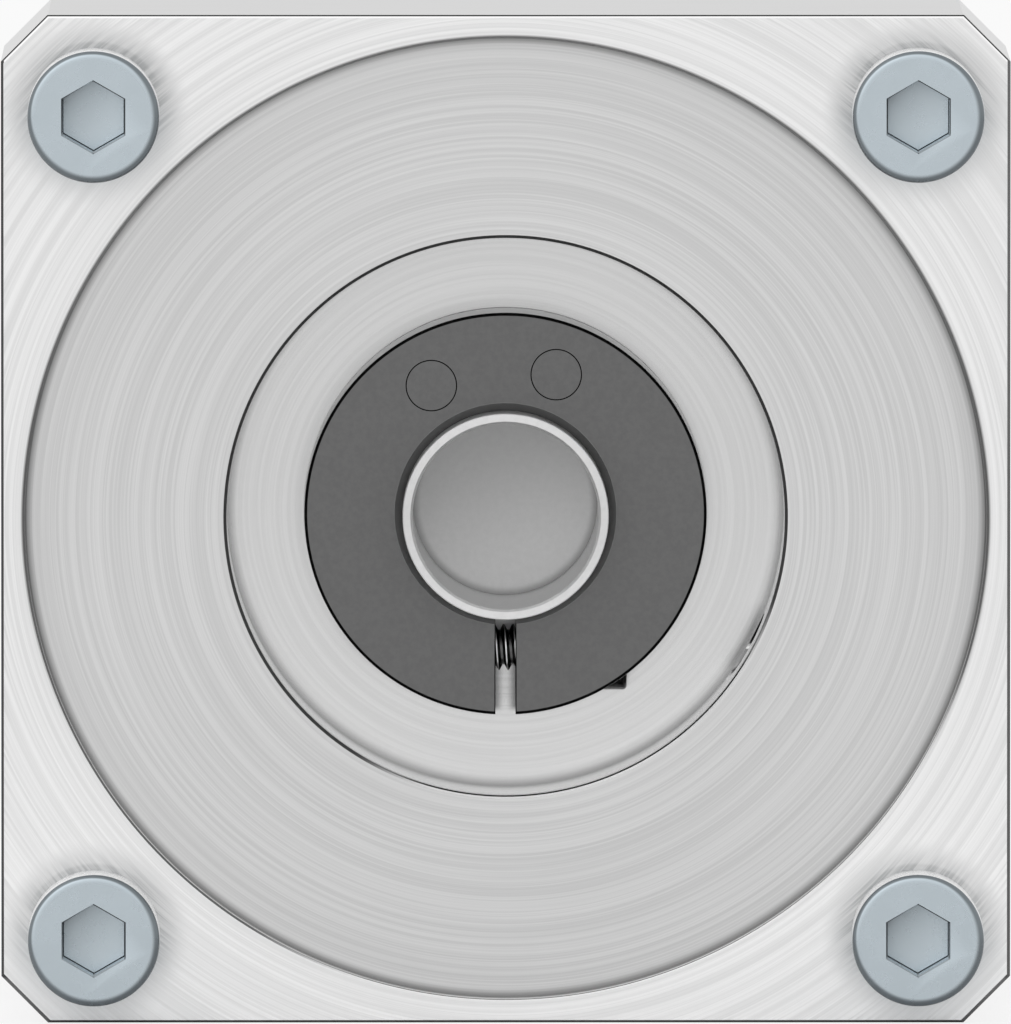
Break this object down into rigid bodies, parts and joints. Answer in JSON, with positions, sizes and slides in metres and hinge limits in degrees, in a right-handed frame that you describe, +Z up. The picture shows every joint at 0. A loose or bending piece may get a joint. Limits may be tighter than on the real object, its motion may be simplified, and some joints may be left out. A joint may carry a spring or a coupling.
{
  "type": "cycloidal reducer",
  "caption": "Cycloidal speed reducer with a square motor adapter, a clamped hollow input shaft and a round bolted output face.",
  "frame": {"origin": "on the reducer's axis, in the plane of the motor adapter's front face, where the motor pilot recess opens", "axes": "+Y along the axis from the motor side to the output side, +Z up, +X to the right as seen from the motor side"},
  "size_m": [0.065, 0.0757, 0.065],
  "materials": {
    "adapter_aluminium": "fine turned and milled, matt",
    "zinc_steel": "blue zinc plated",
    "seal_rubber": "matt nitrile rubber",
    "bearing_steel": "ground and polished",
    "cage_brass": "pressed brass",
    "black_steel": "black oxide",
    "shaft_steel": "turned and ground",
    "clamp_steel": "dark phosphated, matt",
    "disc_steel": "ground",
    "housing_metal": "fine turned steel",
    "carrier_steel": "turned and ground"
  },
  "bodies": {
    "housing": {"motor_adapter": "adapter_aluminium", "adapter_screws": "zinc_steel", "adapter_o_ring": "seal_rubber", "input_seal": "seal_rubber", "input_bearing_outer_ring": "bearing_steel", "input_circlip": "black_steel", "ring_housing": "housing_metal", "ring_pins": "bearing_steel", "joint_screws": "black_steel", "joint_dowels": "bearing_steel", "output_housing": "housing_metal", "main_bearing_outer_rings": "bearing_steel", "housing_circlip": "black_steel", "output_seal": "seal_rubber"},
    "input_shaft": {"eccentric_shaft": "shaft_steel", "clamp_ring": "clamp_steel", "clamp_screw": "black_steel", "balance_plugs": "clamp_steel", "cam_washer": "bearing_steel", "rear_spacer": "bearing_steel", "input_bearing_inner_ring": "bearing_steel", "rear_bearing_inner_ring": "bearing_steel", "rear_circlip": "black_steel"},
    "disc_a": {"cycloid_disc_a": "disc_steel"},
    "disc_b": {"cycloid_disc_b": "disc_steel"},
    "rollers_a": {"cam_rollers_a": "bearing_steel"},
    "rollers_b": {"cam_rollers_b": "bearing_steel"},
    "output": {"output_carrier": "carrier_steel", "output_pins": "bearing_steel", "output_rollers": "bearing_steel", "main_bearing_inner_rings": "bearing_steel", "output_circlip": "black_steel", "rear_bearing_outer_ring": "bearing_steel"},
    "input_bearing_set": {"input_bearing_balls": "bearing_steel", "input_bearing_cage": "cage_brass"},
    "rear_bearing_set": {"rear_bearing_balls": "bearing_steel", "rear_bearing_cage": "cage_brass"},
    "main_bearing_set": {"main_bearing_balls": "bearing_steel", "main_bearing_cages": "cage_brass"}
  },
  "joints": [
    {"name": "input_spin", "type": "hinge", "parent": "housing", "child": "input_shaft", "pos_m": [0, 0.0205, 0], "axis": [0, 1, 0], "continuous": true},
    {"name": "disc_a_spin", "type": "hinge", "parent": "input_shaft", "child": "disc_a", "pos_m": [0, 0.029, 0.001], "axis": [0, 1, 0], "continuous": true},
    {"name": "disc_b_spin", "type": "hinge", "parent": "input_shaft", "child": "disc_b", "pos_m": [0, 0.036, -0.001], "axis": [0, 1, 0], "continuous": true},
    {"name": "rollers_a_spin", "type": "hinge", "parent": "input_shaft", "child": "rollers_a", "pos_m": [0, 0.029, 0.001], "axis": [0, 1, 0], "continuous": true},
    {"name": "rollers_b_spin", "type": "hinge", "parent": "input_shaft", "child": "rollers_b", "pos_m": [0, 0.036, -0.001], "axis": [0, 1, 0], "continuous": true},
    {"name": "output_spin", "type": "hinge", "parent": "housing", "child": "output", "pos_m": [0, 0.0535, 0], "axis": [0, 1, 0], "continuous": true},
    {"name": "input_bearing_spin", "type": "hinge", "parent": "housing", "child": "input_bearing_set", "pos_m": [0, 0.0205, 0], "axis": [0, 1, 0], "continuous": true},
    {"name": "rear_bearing_spin", "type": "hinge", "parent": "housing", "child": "rear_bearing_set", "pos_m": [0, 0.0435, 0], "axis": [0, 1, 0], "continuous": true},
    {"name": "main_bearing_spin", "type": "hinge", "parent": "housing", "child": "main_bearing_set", "pos_m": [0, 0.0535, 0], "axis": [0, 1, 0], "continuous": true}
  ],
  "couplings": [
    {"joint": "disc_a_spin", "follows": "input_spin", "ratio": -1.0667},
    {"joint": "disc_b_spin", "follows": "input_spin", "ratio": -1.0667},
    {"joint": "rollers_a_spin", "follows": "input_spin", "ratio": -0.61124},
    {"joint": "rollers_b_spin", "follows": "input_spin", "ratio": -0.61124},
    {"joint": "output_spin", "follows": "input_spin", "ratio": -0.066667},
    {"joint": "input_bearing_spin", "follows": "input_spin", "ratio": 0.44465},
    {"joint": "rear_bearing_spin", "follows": "input_spin", "ratio": 0.38974},
    {"joint": "main_bearing_spin", "follows": "input_spin", "ratio": -0.030093}
  ]
}
